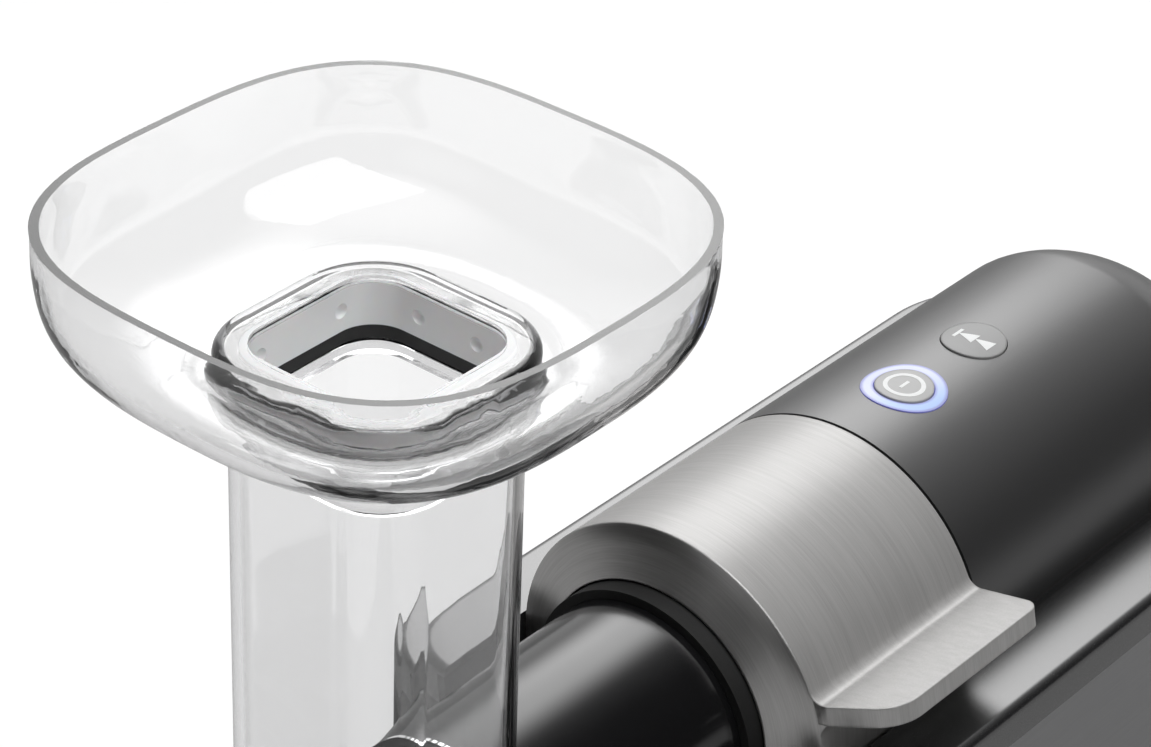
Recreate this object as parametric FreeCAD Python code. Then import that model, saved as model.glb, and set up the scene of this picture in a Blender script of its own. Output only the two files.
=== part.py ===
import FreeCAD, Part
import math
import os

# Horizontal cold press juicer. The pieces are drawn in millimetres round the machine axis:
# X runs along it towards the motor, Y is sideways, Z is up, and the feed tube stands at X 0.
# save() then moves each piece so that the row's origin is under the middle of the whole object.

# Overall places along and above the machine axis
AXIS_HEIGHT = 150.0
FRONT_X = -112.0
BODY_FRONT_X = 96.0
REAR_X = 412.0
MIDDLE_X = (FRONT_X + REAR_X) / 2
SEAM_X = 213.2

# Hopper tray: a rounded-square bowl, its sizes measured down from the rim
RIM_UP = 219.0
TRAY_HALF_X = 76.0
TRAY_HALF_Y = 76.2
TRAY_WALL = 2.3
BOWL_DEPTH = 44.5
BOWL_FLOOR_SHARE = 0.62
BOWL_TAPER = 0.118
BOWL_WALL_POWER = 6.47
BOWL_FLOOR_POWER = 3.32
RIM_ROUNDNESS = 3.06
FLOOR_ROUNDNESS = 2.08
COLLAR_TOP_DROP = 35.0
COLLAR_PLATE = 2.4
COLLAR_TOP_HALF = 37.0
COLLAR_TOP_CORNER = 24.9
COLLAR_EDGE_ROUND = 3.0
SKIRT_DROP = 60.8
SKIRT_HALF = 34.8
SKIRT_CORNER = 19.4
THROAT_HALF = 26.4
THROAT_CORNER = 11.2

# Liner and seal inside the collar
LINER_WALL = 2.0
LINER_STEP = 0.2
LINER_DROP = 50.2
SEAL_DROP = 54.1
SEAL_WALL = 2.2
DIMPLE_R = 2.3
DIMPLE_DEPTH = 1.6
DIMPLE_DROP = 44.0
DIMPLE_SPREAD_X = 15.0
DIMPLE_SPREAD_Y = 10.0

# Feed tube
TUBE_HALF = 31.9
TUBE_CORNER = 16.7
TUBE_WALL = 2.8
TUBE_TOP_DROP = 37.7
TUBE_LEDGE_TOP = 55.0
TUBE_LEDGE_FOOT = 59.1
SLIP_GAP = 0.35

# Drum, its collar and what it holds
DRUM_R = 38.0
DRUM_FRONT_X = -66.0
DRUM_REAR_X = 152.0
DRUM_BORE_R = 33.0
STRAINER_POCKET_R = 35.0
STRAINER_POCKET_X = -34.0
REAR_WALL = 4.0
HUB_HOLE_R = 13.3
COLLAR_R = 41.0
COLLAR_FRONT_X = 118.0
COLLAR_REAR_X = 150.0
SPOUT_X = -44.0
SPOUT_R = 10.0
SPOUT_BORE_R = 7.0
SPOUT_FOOT = -60.0
CHUTE_CUT_TOP = 45.0
STRAINER_R = 34.8
STRAINER_BORE_R = 33.6
SLOT_WIDTH = 1.6
SLOT_LENGTH = 8.0
AUGER_R = 32.4
AUGER_PITCH = 34.0
FLIGHT_THICKNESS = 4.0
FLIGHT_START_X = -60.0
FLIGHT_TURNS = 5.8
AUGER_HUB_R = 13.0
AUGER_REAR_X = 161.0
JOURNAL_R = 6.0
RUNNING_GAP = 0.05

# Pulp end
PLATE_R = 37.8
PLATE_REAR_X = -66.3
PLATE_FRONT_X = -70.0
NOZZLE_DROP = 20.0
NOZZLE_R = 11.0
NOZZLE_BORE_R = 8.0
NUT_R = 43.0
NUT_FRONT_X = -76.0
NUT_REAR_X = -56.0
NUT_LIP_R = 31.0
NUT_GRIPS = 18
NUT_GRIP_R = 4.0
NUT_GRIP_CIRCLE = 45.2

# Locking ring and the seat that it turns on
RING_R = 57.0
RING_FRONT_X = 130.8
RING_REAR_X = 212.0
RING_LIP_X = 124.2
RING_MOUTH_R = 41.6
RING_WALL = 3.5
RING_EDGE = 0.6
TAB_REACH_Y = 77.0
TAB_ROOT_Y = 52.0
TAB_ROOT_UP = 22.8
TAB_TILT = 12.5
TAB_THICKNESS = 6.4
TAB_STRAIGHT = 5.2
TAB_FRONT_SET_BACK = 9.0
TAB_FRONT_CORNER = 14.0
TAB_REAR_CORNER = 5.0
TAB_CREASE_R = 5.0
SEAT_R = 53.2
SEAT_FRONT_X = 138.0
SEAT_REAR_X = 206.0
SEAT_BORE_R = 41.4
SEAT_WEB_X = 154.0
SEAT_WEB = 5.0
SEAT_LAND = 14.0
SEAT_BOSS_R = 5.5
SEAT_HOLE_R = 18.0
SEAT_SCREW_CIRCLE = 32.0
SCREW_R = 2.0
SCREW_HEAD_R = 3.8
SCREW_HEAD = 3.0

# Body
BODY_HALF_Y = 82.2
BODY_FRONT_CORNER = 22.0
BODY_REAR_CORNER = 50.0
BARREL_R = 57.0
DOME_X = 348.2
DOME_LENGTH = 55.4
DOME_POWER = 1.61
SHELL = 3.0
DECK = 3.0
DECK_SIDE = 13.4
SHOULDER_R = 3.5
BARREL_FILLET = 7.0
TROUGH_R = 60.0
PANEL_SKIN = 2.5
PANEL_FRONT_X = 118.0
PANEL_REAR_X = 372.0
BODY_FOOT = 8.0
BASE_PLATE = 4.0
FOOT_R = 11.0
FOOT_X = (122.0, 378.0)
FOOT_Y = 54.0
BASE_SCREW_X = (150.0, 250.0, 350.0)
BASE_SCREW_Y = 70.2

# Gear train: two equal stages from the motor shaft to the output shaft
GEAR_MODULE = 1.0
PRESSURE_ANGLE = math.radians(20)
ADDENDUM = 0.85
DEDENDUM = 1.1
BACKLASH = 0.2
WHEEL_TEETH = 56
PINION_TEETH = 14
GEAR_CENTRES = GEAR_MODULE * (WHEEL_TEETH + PINION_TEETH) / 2
LAY_Z = -GEAR_CENTRES
BULKHEAD = 3.0
COVER_R = 52.0
CASE_REAR_X = 250.0
CASE_WALL = 3.0
CASE_BACK = 4.0
CASE_BACK_X = CASE_REAR_X - CASE_BACK
COVER_NOSE_R = 20.0
COVER_NOSE_X = SEAT_REAR_X - 12
LAY_POCKET_X = (SEAT_REAR_X + 2, CASE_REAR_X - 1)
CASE_R = 34.0
LAY_CASE_R = 32.0
OUTPUT_GEAR_X = (219.0, 231.0)
LAY_PINION_X = (218.0, 232.0)
LAY_GEAR_X = (235.0, 243.0)
MOTOR_PINION_X = (236.0, 244.0)
BEARING_R = 13.0
BEARING_WIDTH = 8.0
BUSH_R = 8.0
OUTPUT_SHAFT_R = 8.0
DRIVE_HALF = 5.0
LAYSHAFT_R = 4.5
MOTOR_SHAFT_R = 6.0
PINION_SEAT_R = 4.5
PINION_SEAT_X = 246.0

# Motor
STATOR_R = 40.0
STATOR_BORE_R = 24.5
STATOR_X = (268.0, 332.0)
ROTOR_R = 24.0
WINDING_LENGTH = 10.0
END_BRACKET_X = 346.0
BRACKET = 5.0
BRACKET_WINDOW_R = 6.0
FRONT_FLANGE = 6.0
BRACKET_R = 46.0
BRACKET_TOP = 40.0
TIE_BOLT_R = 2.0
MOTOR_BEARING_R = 11.0
SADDLE_X = (284.0, 316.0)
SADDLE_HALF = 34.0
SADDLE_TOP = -28.5
FAN_X = 358.0
FAN_R = 33.0
FAN_BLADES = 9

# Buttons on the top line of the barrel
POWER_X = 245.2
LIGHT_RING_R = 13.85
POWER_CAP_R = 9.5
REVERSE_X = 283.5
REVERSE_CAP_R = 10.65
BUTTON_GAP = 0.3
BUTTON_FOOT = 48.6
BOARD_UP = 42.0

os.makedirs("parts", exist_ok=True)
Vec = FreeCAD.Vector
X_DIR = Vec(1, 0, 0)
Y_DIR = Vec(0, 1, 0)
Z_DIR = Vec(0, 0, 1)
ORIGIN = Vec(0, 0, 0)


def save(name, shape):
    """Moves a piece from the machine axis to the row frame and writes it."""
    placed = shape.copy()
    placed.translate(Vec(-MIDDLE_X, 0, AXIS_HEIGHT))
    placed.exportStep("parts/" + name + ".step")


def disc_x(radius, x0, x1, z=0.0, y=0.0):
    """A solid cylinder along X."""
    return Part.makeCylinder(radius, x1 - x0, Vec(x0, y, z), X_DIR)


def ring_x(outer, inner, x0, x1, z=0.0, y=0.0):
    """A tube along X."""
    return disc_x(outer, x0, x1, z, y).cut(disc_x(inner, x0 - 1, x1 + 1, z, y))


def post(radius, x, y, z0, z1):
    """A solid cylinder along Z."""
    return Part.makeCylinder(radius, z1 - z0, Vec(x, y, z0), Z_DIR)


def block(x0, x1, y0, y1, z0, z1):
    """A rectangular block between two corners."""
    return Part.makeBox(x1 - x0, y1 - y0, z1 - z0, Vec(x0, y0, z0))


def turned(points, angle=360.0):
    """A solid of revolution about the machine axis from (x, radius) points."""
    corners = [Vec(x, 0, r) for x, r in points]
    face = Part.Face(Part.makePolygon(corners + corners[:1]))
    return face.revolve(ORIGIN, X_DIR, angle)


def rounded_wire(corners, z):
    """A closed outline through (x, y, radius) corners, each rounded by its radius."""
    runs = []
    for k, (x, y, radius) in enumerate(corners):
        corner = Vec(x, y, z)
        before = corners[k - 1]
        after = corners[(k + 1) % len(corners)]
        back = (Vec(before[0], before[1], z) - corner).normalize()
        ahead = (Vec(after[0], after[1], z) - corner).normalize()
        half = back.getAngle(ahead) / 2
        inward = (back + ahead).normalize()
        reach = radius / math.tan(half)
        nearest = corner + inward * (radius / math.sin(half) - radius)
        runs.append((corner + back * reach, nearest, corner + ahead * reach))
    edges = []
    for run, following in zip(runs, runs[1:] + runs[:1]):
        if run[0].distanceToPoint(run[2]) > 0.001:
            edges.append(Part.Arc(*run).toShape())
        edges.append(Part.makeLine(run[2], following[0]))
    return Part.Wire(edges)


def plan_wire(x0, x1, half_y, front_corner, rear_corner, z):
    """A closed outline: a rectangle with one corner radius at x0 and another at x1."""
    return rounded_wire([(x1, half_y, rear_corner), (x0, half_y, front_corner),
                         (x0, -half_y, front_corner), (x1, -half_y, rear_corner)], z)


def square_wire(half, corner, z):
    """A rounded square about the tube's axis."""
    return plan_wire(-half, half, half, corner, corner, z)


def square_post(half, corner, z0, z1):
    """A rounded-square prism about the tube's axis."""
    return Part.Face(square_wire(half, corner, z0)).extrude(Vec(0, 0, z1 - z0))


def body_block(inset, z0, z1):
    """The body's plan outline, moved in by inset and raised from z0 to z1."""
    wire = plan_wire(BODY_FRONT_X + inset, REAR_X - inset, BODY_HALF_Y - inset,
                     BODY_FRONT_CORNER - inset, BODY_REAR_CORNER - inset, z0)
    return Part.Face(wire).extrude(Vec(0, 0, z1 - z0))


def bowl_section(half_x, half_y, depth, turn):
    """One level of the bowl. turn goes from 0 at the rim to a quarter turn at the floor's middle."""
    share = (1 - BOWL_TAPER * math.sin(turn)) * math.cos(turn) ** (2 / BOWL_FLOOR_POWER)
    level = RIM_UP - depth * math.sin(turn) ** (2 / BOWL_WALL_POWER)
    blend = turn / (math.pi / 2)
    roundness = RIM_ROUNDNESS + (FLOOR_ROUNDNESS - RIM_ROUNDNESS) * blend
    points = []
    steps = 40
    for k in range(steps):
        angle = 2 * math.pi * k / steps
        c, s = math.cos(angle), math.sin(angle)
        x = half_x * share * math.copysign(abs(c) ** (2 / roundness), c)
        y = half_y * share * math.copysign(abs(s) ** (2 / roundness), s)
        points.append(Vec(x, y, level))
    curve = Part.BSplineCurve()
    curve.interpolate(Points=points, PeriodicFlag=True)
    return Part.Wire(curve.toShape())


def bowl_solid(half_x, half_y, depth):
    """A solid bowl lofted through its levels, with a flat floor."""
    turns = [0.0, 0.004, 0.03, 0.1, 0.22, 0.38, 0.55, 0.72, 0.9]
    floor_turn = math.acos(BOWL_FLOOR_SHARE ** (BOWL_FLOOR_POWER / 2))
    wires = [bowl_section(half_x, half_y, depth, t) for t in turns if t < floor_turn]
    wires.append(bowl_section(half_x, half_y, depth, floor_turn))
    return Part.makeLoft(wires, True, False)


def hopper_tray():
    """Clear bowl with a raised collar round the throat and a skirt that slips over the tube."""
    outer = bowl_solid(TRAY_HALF_X, TRAY_HALF_Y, BOWL_DEPTH)
    inner = bowl_solid(TRAY_HALF_X - TRAY_WALL, TRAY_HALF_Y - TRAY_WALL, BOWL_DEPTH - TRAY_WALL)
    bowl = outer.cut(inner)
    collar_top = RIM_UP - COLLAR_TOP_DROP
    sleeve = Part.makeLoft([square_wire(SKIRT_HALF, SKIRT_CORNER, RIM_UP - SKIRT_DROP),
                            square_wire(COLLAR_TOP_HALF, COLLAR_TOP_CORNER, collar_top)], True, True)
    top_edges = [e for e in sleeve.Edges if e.BoundBox.ZMin > collar_top - 0.01]
    sleeve = sleeve.makeFillet(COLLAR_EDGE_ROUND, top_edges)
    inside = square_post(TUBE_HALF + SLIP_GAP, TUBE_CORNER + SLIP_GAP,
                         RIM_UP - SKIRT_DROP - 5, collar_top - COLLAR_PLATE)
    throat = square_post(THROAT_HALF, THROAT_CORNER, collar_top - 10, collar_top + 5)
    return bowl.fuse(sleeve).cut(inside).cut(throat).removeSplitter()


def throat_liner():
    """Pale sleeve under the collar plate, with two round dimples on each wall."""
    top = RIM_UP - COLLAR_TOP_DROP - COLLAR_PLATE
    foot = RIM_UP - LINER_DROP
    half = THROAT_HALF + LINER_STEP
    corner = THROAT_CORNER + LINER_STEP
    liner = square_post(half + LINER_WALL, corner + LINER_WALL, foot, top)
    liner = liner.cut(square_post(half, corner, foot - 1, top + 1))
    centre = half - DIMPLE_R + DIMPLE_DEPTH
    level = RIM_UP - DIMPLE_DROP
    for side in (-1, 1):
        for step in (-1, 1):
            places = [Vec(step * DIMPLE_SPREAD_X, side * centre, level),
                      Vec(side * centre, step * DIMPLE_SPREAD_Y, level)]
            for place in places:
                liner = liner.cut(Part.makeSphere(DIMPLE_R, place))
    return liner


def throat_seal():
    """Soft band under the liner."""
    half = THROAT_HALF + LINER_STEP
    corner = THROAT_CORNER + LINER_STEP
    foot = RIM_UP - SEAL_DROP
    top = RIM_UP - LINER_DROP
    band = square_post(half + SEAL_WALL, corner + SEAL_WALL, foot, top)
    return band.cut(square_post(half, corner, foot - 1, top + 1))


def feed_tube():
    """Clear chute: a rounded-square tube cut to the drum's crown, with a ledge under the seal."""
    top = RIM_UP - TUBE_TOP_DROP
    tube = square_post(TUBE_HALF, TUBE_CORNER, 0, top)
    tube = tube.cut(square_post(TUBE_HALF - TUBE_WALL, TUBE_CORNER - TUBE_WALL, -1, top + 1))
    ledge_top = RIM_UP - TUBE_LEDGE_TOP
    ledge_foot = RIM_UP - TUBE_LEDGE_FOOT
    half_wall = TUBE_WALL / 2
    ledge = square_post(TUBE_HALF - half_wall, TUBE_CORNER - half_wall, ledge_foot, ledge_top)
    ledge = ledge.cut(square_post(THROAT_HALF + LINER_STEP, THROAT_CORNER + LINER_STEP,
                                  ledge_foot - 1, ledge_top + 1))
    tube = tube.fuse(ledge).removeSplitter()
    return tube.cut(disc_x(DRUM_R, -2 * TUBE_HALF, 2 * TUBE_HALF))


def juicing_drum():
    """Dark drum with its chute opening, strainer pocket, rear wall and juice spout."""
    drum = disc_x(DRUM_R, DRUM_FRONT_X, DRUM_REAR_X)
    drum = drum.fuse(post(SPOUT_R, SPOUT_X, 0, SPOUT_FOOT, -STRAINER_POCKET_R + 2))
    drum = drum.cut(disc_x(DRUM_BORE_R, DRUM_FRONT_X - 1, DRUM_REAR_X - REAR_WALL))
    drum = drum.cut(disc_x(STRAINER_POCKET_R, DRUM_FRONT_X - 1, STRAINER_POCKET_X))
    drum = drum.cut(disc_x(HUB_HOLE_R, DRUM_REAR_X - REAR_WALL - 1, DRUM_REAR_X + 1))
    drum = drum.cut(post(SPOUT_BORE_R, SPOUT_X, 0, SPOUT_FOOT - 1, 0))
    chute = square_post(TUBE_HALF - TUBE_WALL, TUBE_CORNER - TUBE_WALL, 0, CHUTE_CUT_TOP)
    return drum.cut(chute)


def drum_collar():
    """Matt collar that centres the drum in the seat."""
    return ring_x(COLLAR_R, DRUM_R + RUNNING_GAP, COLLAR_FRONT_X, COLLAR_REAR_X)


def auger_flight():
    """The screw's blade: a rectangle carried along a helix, then laid along X."""
    helix = Part.makeHelix(AUGER_PITCH, AUGER_PITCH * FLIGHT_TURNS, AUGER_R)
    low, high = AUGER_HUB_R - 3, AUGER_R
    half = FLIGHT_THICKNESS / 2
    corners = [Vec(low, 0, -half), Vec(high, 0, -half), Vec(high, 0, half), Vec(low, 0, half)]
    profile = Part.makePolygon(corners + corners[:1])
    blade = Part.Wire(helix.Edges).makePipeShell([profile], True, True)
    blade.rotate(ORIGIN, Y_DIR, 90)
    blade.translate(Vec(FLIGHT_START_X, 0, 0))
    return blade


def auger():
    """Pressing screw: its core swells towards the pulp end, and a square socket takes the drive."""
    core = turned([
        (DRUM_FRONT_X - 10, 0), (DRUM_FRONT_X - 10, JOURNAL_R), (DRUM_FRONT_X + 2, JOURNAL_R),
        (DRUM_FRONT_X + 3, 26), (STRAINER_POCKET_X, 20), (DRUM_REAR_X - 11, AUGER_HUB_R + 1),
        (DRUM_REAR_X - 9, AUGER_HUB_R), (AUGER_REAR_X, AUGER_HUB_R), (AUGER_REAR_X, 0),
    ])
    screw = core.fuse(auger_flight())
    socket = DRIVE_HALF + BUTTON_GAP
    return screw.cut(block(AUGER_REAR_X - 18, AUGER_REAR_X + 1, -socket, socket, -socket, socket))


def auger_seal():
    """Lip seal pressed on the drum's rear wall round the auger's hub."""
    return ring_x(22, AUGER_HUB_R + BUTTON_GAP, DRUM_REAR_X - REAR_WALL - 3, DRUM_REAR_X - REAR_WALL)


def strainer():
    """Thin steel sleeve with rows of slots round it."""
    sleeve = ring_x(STRAINER_R, STRAINER_BORE_R, DRUM_FRONT_X + 1, STRAINER_POCKET_X)
    slots = []
    rows = 2
    around = 24
    for row in range(rows):
        middle = DRUM_FRONT_X + 9 + row * 13
        for k in range(around):
            slot = block(middle - SLOT_LENGTH / 2, middle + SLOT_LENGTH / 2,
                         -SLOT_WIDTH / 2, SLOT_WIDTH / 2, STRAINER_BORE_R - 2, STRAINER_R + 2)
            slot.rotate(ORIGIN, X_DIR, 360 * (k + row / 2) / around)
            slots.append(slot)
    return sleeve.cut(Part.makeCompound(slots))


def pulp_end_plate():
    """End plate with a bush for the auger's tip and the pulp nozzle below it."""
    plate = disc_x(PLATE_R, PLATE_FRONT_X, PLATE_REAR_X)
    plate = plate.fuse(disc_x(JOURNAL_R + 3, PLATE_FRONT_X - 8, PLATE_REAR_X))
    nozzle = Part.makeCone(NOZZLE_R - 1.5, NOZZLE_R, PLATE_FRONT_X - FRONT_X,
                           Vec(FRONT_X, 0, -NOZZLE_DROP), X_DIR)
    plate = plate.fuse(nozzle)
    plate = plate.cut(disc_x(NOZZLE_BORE_R, FRONT_X - 1, PLATE_REAR_X + 1, -NOZZLE_DROP))
    return plate.cut(disc_x(JOURNAL_R + RUNNING_GAP, PLATE_FRONT_X - 7, PLATE_REAR_X + 1))


def front_nut():
    """Nut that holds the end plate on the drum, with finger grips round it."""
    nut = disc_x(NUT_R, NUT_FRONT_X, NUT_REAR_X)
    nut = nut.cut(disc_x(DRUM_R + SLIP_GAP, PLATE_FRONT_X - BUTTON_GAP, NUT_REAR_X + 1))
    nut = nut.cut(disc_x(NUT_LIP_R + 2, NUT_FRONT_X - 1, NUT_REAR_X))
    grips = []
    for k in range(NUT_GRIPS):
        angle = 2 * math.pi * k / NUT_GRIPS
        y, z = NUT_GRIP_CIRCLE * math.sin(angle), NUT_GRIP_CIRCLE * math.cos(angle)
        grips.append(disc_x(NUT_GRIP_R, NUT_FRONT_X - 1, NUT_REAR_X - 5, z, y))
    return nut.cut(Part.makeCompound(grips))


def lever_tab():
    """Flat lever on the ring's side, tilted up a little. Its front edge runs on from the ring's
    front edge and then leans back, and its two outer corners are rounded."""
    front = RING_FRONT_X + RING_EDGE
    reach = (TAB_REACH_Y - TAB_ROOT_Y) / math.cos(math.radians(TAB_TILT))
    inward = 14.0
    outline = rounded_wire([
        (front, inward, 0), (front, -TAB_STRAIGHT, 0),
        (front + TAB_FRONT_SET_BACK, -reach, TAB_FRONT_CORNER),
        (RING_REAR_X, -reach, TAB_REAR_CORNER), (RING_REAR_X, inward, 0)], 0)
    tab = Part.Face(outline).extrude(Vec(0, 0, -TAB_THICKNESS))
    tab.rotate(ORIGIN, X_DIR, -TAB_TILT)
    tab.translate(Vec(0, -TAB_ROOT_Y, TAB_ROOT_UP))
    return tab


def locking_ring():
    """Brushed ring with a conical face, hollow behind it, and its lever tab."""
    outer = turned([(RING_LIP_X, 0), (RING_LIP_X, RING_MOUTH_R), (RING_FRONT_X, RING_R - RING_EDGE),
                    (RING_FRONT_X + RING_EDGE, RING_R), (RING_REAR_X, RING_R), (RING_REAR_X, 0)])
    ring = outer.fuse(lever_tab()).removeSplitter()
    crease = [e for e in ring.Edges if is_crease(e)]
    ring = ring.makeFillet(TAB_CREASE_R, crease)
    hollow = turned([(RING_FRONT_X + RING_WALL, 0), (RING_FRONT_X + RING_WALL, RING_R - RING_WALL),
                     (RING_REAR_X + 1, RING_R - RING_WALL), (RING_REAR_X + 1, 0)])
    return ring.cut(hollow).cut(disc_x(RING_MOUTH_R, RING_LIP_X - 1, RING_REAR_X))


def is_crease(edge):
    """True for the long straight edges where the tab's faces meet the ring's barrel."""
    box = edge.BoundBox
    on_barrel = abs(math.hypot(box.YMin, box.ZMin) - RING_R) < 0.05
    return box.XLength > 60 and box.YLength < 0.01 and box.ZLength < 0.01 and on_barrel


def drum_seat():
    """Fixed hub that the ring turns on, with the bore that takes the drum's collar."""
    seat = disc_x(SEAT_R, SEAT_FRONT_X, SEAT_REAR_X)
    seat = seat.fuse(disc_x(RING_R - RING_WALL - RUNNING_GAP, SEAT_REAR_X - SEAT_LAND, SEAT_REAR_X))
    seat = seat.cut(disc_x(SEAT_BORE_R, SEAT_FRONT_X - 1, SEAT_WEB_X))
    seat = seat.cut(disc_x(SEAT_R - 6, SEAT_WEB_X + SEAT_WEB, SEAT_REAR_X + 1))
    for y, z in seat_screw_places():
        seat = seat.fuse(disc_x(SEAT_BOSS_R, SEAT_WEB_X + 1, SEAT_REAR_X, z, y))
        seat = seat.cut(disc_x(SCREW_R, SEAT_WEB_X, SEAT_REAR_X + 1, z, y))
        seat = seat.cut(disc_x(SCREW_HEAD_R, SEAT_WEB_X - 1, SEAT_WEB_X + SCREW_HEAD, z, y))
    return seat.cut(disc_x(SEAT_HOLE_R, SEAT_WEB_X - 1, SEAT_WEB_X + SEAT_WEB + 1)).removeSplitter()


def seat_screws():
    """Screws from the seat's web through its bosses into the gearbox cover."""
    screws = []
    for y, z in seat_screw_places():
        shank = disc_x(SCREW_R, SEAT_WEB_X + SCREW_HEAD, SEAM_X - 0.4, z, y)
        head = disc_x(SCREW_HEAD_R - 0.3, SEAT_WEB_X + 0.3, SEAT_WEB_X + SCREW_HEAD, z, y)
        screws.append(shank.fuse(head))
    return Part.makeCompound(screws)


def round_places(radius, count, start):
    """Evenly spaced (y, z) places on a circle round the axis."""
    angles = [math.radians(start + 360 * k / count) for k in range(count)]
    return [(radius * math.cos(a), radius * math.sin(a)) for a in angles]


def seat_screw_places():
    """Three places round the drive opening."""
    return round_places(SEAT_SCREW_CIRCLE, 3, -30)


def gear(teeth, span, bore, z, gap_up):
    """Spur gear along X. Each flank is a few flats along the involute, and a tooth or a gap
    points up."""
    x0, x1 = span
    pitch_r = GEAR_MODULE * teeth / 2
    base_r = pitch_r * math.cos(PRESSURE_ANGLE)
    tip_r = pitch_r + ADDENDUM * GEAR_MODULE
    root_r = pitch_r - DEDENDUM * GEAR_MODULE
    start_r = max(base_r, root_r)
    at_pitch = math.tan(PRESSURE_ANGLE) - PRESSURE_ANGLE
    half_pitch_tooth = math.pi / (2 * teeth) - BACKLASH / (2 * pitch_r)
    flank = []
    steps = 4
    for k in range(steps + 1):
        radius = start_r + (tip_r - start_r) * k / steps
        roll = math.acos(min(1.0, base_r / radius))
        flank.append((radius, half_pitch_tooth + at_pitch - (math.tan(roll) - roll)))
    if root_r < start_r:
        flank.insert(0, (root_r, flank[0][1]))
    corners = []
    for tooth in range(teeth):
        centre = 2 * math.pi * (tooth + (0.5 if gap_up else 0)) / teeth
        outline = [(r, centre - a) for r, a in flank] + [(r, centre + a) for r, a in reversed(flank)]
        corners += [Vec(x0, r * math.sin(a), z + r * math.cos(a)) for r, a in outline]
    blank = Part.Face(Part.makePolygon(corners + corners[:1])).extrude(Vec(x1 - x0, 0, 0))
    return blank.cut(disc_x(bore, x0 - 1, x1 + 1, z))


def case_outline(grow, x0, x1):
    """The gear case's shape: two overlapping discs round the output and lay shafts."""
    shape = disc_x(CASE_R + grow, x0, x1).fuse(disc_x(LAY_CASE_R + grow, x0, x1, LAY_Z))
    side = LAY_CASE_R + grow
    return shape.fuse(block(x0, x1, -side, side, LAY_Z, 0)).removeSplitter()


def gearbox_cover():
    """Cast plate between the seat and the bulkhead, bored for the shafts."""
    cover = disc_x(COVER_R, SEAT_REAR_X, SEAM_X).fuse(disc_x(COVER_NOSE_R, COVER_NOSE_X, SEAT_REAR_X))
    cover = cover.cut(disc_x(BEARING_R, COVER_NOSE_X - 1, SEAM_X + 1))
    cover = cover.cut(disc_x(BUSH_R, LAY_POCKET_X[0], SEAM_X + 1, LAY_Z))
    for y, z in seat_screw_places():
        cover = cover.cut(disc_x(SCREW_R, SEAT_REAR_X - 1, SEAM_X + 1, z, y))
    return cover


def bulkhead():
    """Steel wall between the open trough and the motor compartment."""
    wall = disc_x(BARREL_R - SHELL - 0.2, SEAM_X, SEAM_X + BULKHEAD)
    half = BODY_HALF_Y - PANEL_SKIN - SHELL - 0.2
    foot = BODY_FOOT + BASE_PLATE - AXIS_HEIGHT
    wall = wall.fuse(block(SEAM_X, SEAM_X + BULKHEAD, -half, half, foot, -DECK)).removeSplitter()
    return wall.cut(disc_x(COVER_R - 6, SEAM_X - 1, SEAM_X + BULKHEAD + 1))


def gear_case():
    """Cast cup round the gears, its rear wall bored for the motor shaft and the layshaft."""
    front = SEAM_X + BULKHEAD
    case = case_outline(CASE_WALL, front, CASE_REAR_X)
    case = case.cut(case_outline(0, front - 1, CASE_BACK_X))
    case = case.cut(disc_x(MOTOR_BEARING_R, CASE_BACK_X - 1, CASE_REAR_X + 1))
    return case.cut(disc_x(BUSH_R, CASE_BACK_X - 1, LAY_POCKET_X[1], LAY_Z))


def bearing(inner, outer, front_x, width):
    """Ring bearing with a shallow shield groove on each face."""
    ring = ring_x(outer, inner + RUNNING_GAP, front_x, front_x + width)
    middle = (inner + outer) / 2
    groove = 0.4
    for x in (front_x - 1, front_x + width - groove):
        ring = ring.cut(ring_x(middle + 1.2, middle - 1.2, x, x + 1 + groove))
    return ring


def output_shaft():
    """Drive shaft with a square nose for the auger."""
    nose = block(AUGER_REAR_X - 17, AUGER_REAR_X + 4, -DRIVE_HALF, DRIVE_HALF, -DRIVE_HALF, DRIVE_HALF)
    nose = nose.common(disc_x(DRIVE_HALF * 1.36, AUGER_REAR_X - 17, AUGER_REAR_X + 4))
    shaft = disc_x(OUTPUT_SHAFT_R, AUGER_REAR_X + 3, OUTPUT_GEAR_X[1] + 3)
    return shaft.fuse(nose).removeSplitter()


def motor_shaft():
    """Rotor shaft from the pinion to the fan."""
    shaft = disc_x(MOTOR_SHAFT_R, PINION_SEAT_X - 1, FAN_X + 10)
    return shaft.fuse(disc_x(PINION_SEAT_R, PINION_SEAT_X - 11, PINION_SEAT_X - 1)).removeSplitter()


def rotor_core():
    """Laminated rotor with skewed-bar slots shown as shallow grooves."""
    core = ring_x(ROTOR_R, MOTOR_SHAFT_R, STATOR_X[0], STATOR_X[1])
    grooves = []
    for y, z in round_places(ROTOR_R, 16, 0):
        grooves.append(disc_x(0.8, STATOR_X[0] - 1, STATOR_X[1] + 1, z, y))
    return core.cut(Part.makeCompound(grooves))


def stator_core():
    """Laminated stator ring."""
    return ring_x(STATOR_R, STATOR_BORE_R, STATOR_X[0], STATOR_X[1])


def winding(x0):
    """One end turn of the copper winding, a ring with rounded edges."""
    ring = ring_x(37, 27, x0, x0 + WINDING_LENGTH)
    return ring.makeFillet(2.5, [e for e in ring.Edges if e.Curve.TypeId == "Part::GeomCircle"])


def motor_end_bracket():
    """Cast rear bracket that carries the rear bearing."""
    bracket = motor_end(END_BRACKET_X, BRACKET, BEARING_R)
    x0, x1 = END_BRACKET_X - 1, END_BRACKET_X + BRACKET + 1
    windows = [disc_x(BRACKET_WINDOW_R, x0, x1, z, y) for y, z in round_places(27, 6, 0)]
    return bracket.cut(Part.makeCompound(windows))


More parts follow.
